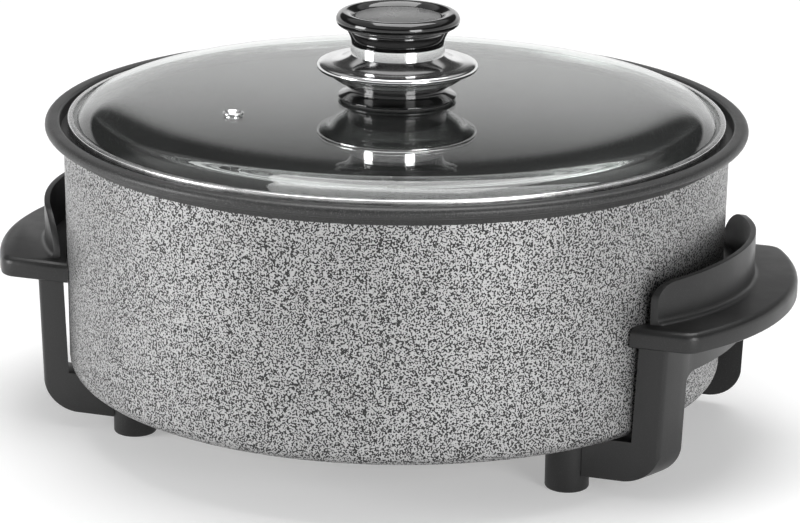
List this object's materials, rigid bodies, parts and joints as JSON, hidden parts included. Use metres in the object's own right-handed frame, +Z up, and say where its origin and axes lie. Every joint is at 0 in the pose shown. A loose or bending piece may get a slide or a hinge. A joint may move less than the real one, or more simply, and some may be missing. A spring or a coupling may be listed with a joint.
{
  "type": "electric hot pot with lid",
  "caption": "Wide round cast electric hot pot with two leg-frame handles, heat shields, an underside heating ring with plug-in socket, and a lift-off glass lid with a knob.",
  "frame": {"origin": "centre of the footprint, on the surface the pot stands on", "axes": "+X to the right-hand handle, away from the socket; +Y to the back; +Z up along the pan's axis"},
  "size_m": [0.441, 0.3798, 0.2284],
  "materials": {
    "pan_coat": "cast aluminium with a black and silver hammered-look coating outside and dark non-stick coating inside and on the rim",
    "tube_steel": "steel heating tube, heat-tinted grey",
    "plated_steel": "zinc-plated steel",
    "socket_plastic": "black moulded heat-resistant plastic",
    "pin_metal": "bright plated steel",
    "contact_brass": "spring brass strip",
    "handle_plastic": "satin black moulded phenolic",
    "foot_plastic": "black moulded plastic",
    "lid_glass": "clear tempered glass",
    "lid_band_steel": "bright rolled stainless steel",
    "gasket_rubber": "black silicone rubber",
    "knob_gloss": "glossy black moulded plastic",
    "knob_chrome": "bright chrome plate",
    "badge_plastic": "plain dark grey satin disc"
  },
  "bodies": {
    "base": {"pan": "pan_coat", "heating_element": "tube_steel", "element_clips": "plated_steel", "clip_screws": "plated_steel", "inlet_housing": "socket_plastic", "inlet_pins": "pin_metal", "probe_sleeve": "pin_metal", "earth_contacts": "contact_brass", "inlet_screws": "plated_steel", "grip_right": "handle_plastic", "grip_left": "handle_plastic", "leg_frame_right": "handle_plastic", "leg_frame_left": "handle_plastic", "grip_screws": "plated_steel", "lug_screws": "plated_steel", "foot_front_right": "foot_plastic", "foot_front_left": "foot_plastic", "foot_back_right": "foot_plastic", "foot_back_left": "foot_plastic", "foot_screws": "plated_steel"},
    "lid": {"lid_glass": "lid_glass", "lid_band": "lid_band_steel", "vent_grommet": "lid_band_steel", "knob_gasket": "gasket_rubber", "knob_foot": "knob_gloss", "knob_guard": "knob_chrome", "knob_grip": "knob_gloss", "knob_badge": "badge_plastic", "knob_washer": "plated_steel", "knob_screw": "plated_steel"}
  },
  "joints": [
    {"name": "lid_lift", "type": "slide", "parent": "base", "child": "lid", "axis": [0, 0, 1], "range_m": [0, 0.12]}
  ]
}
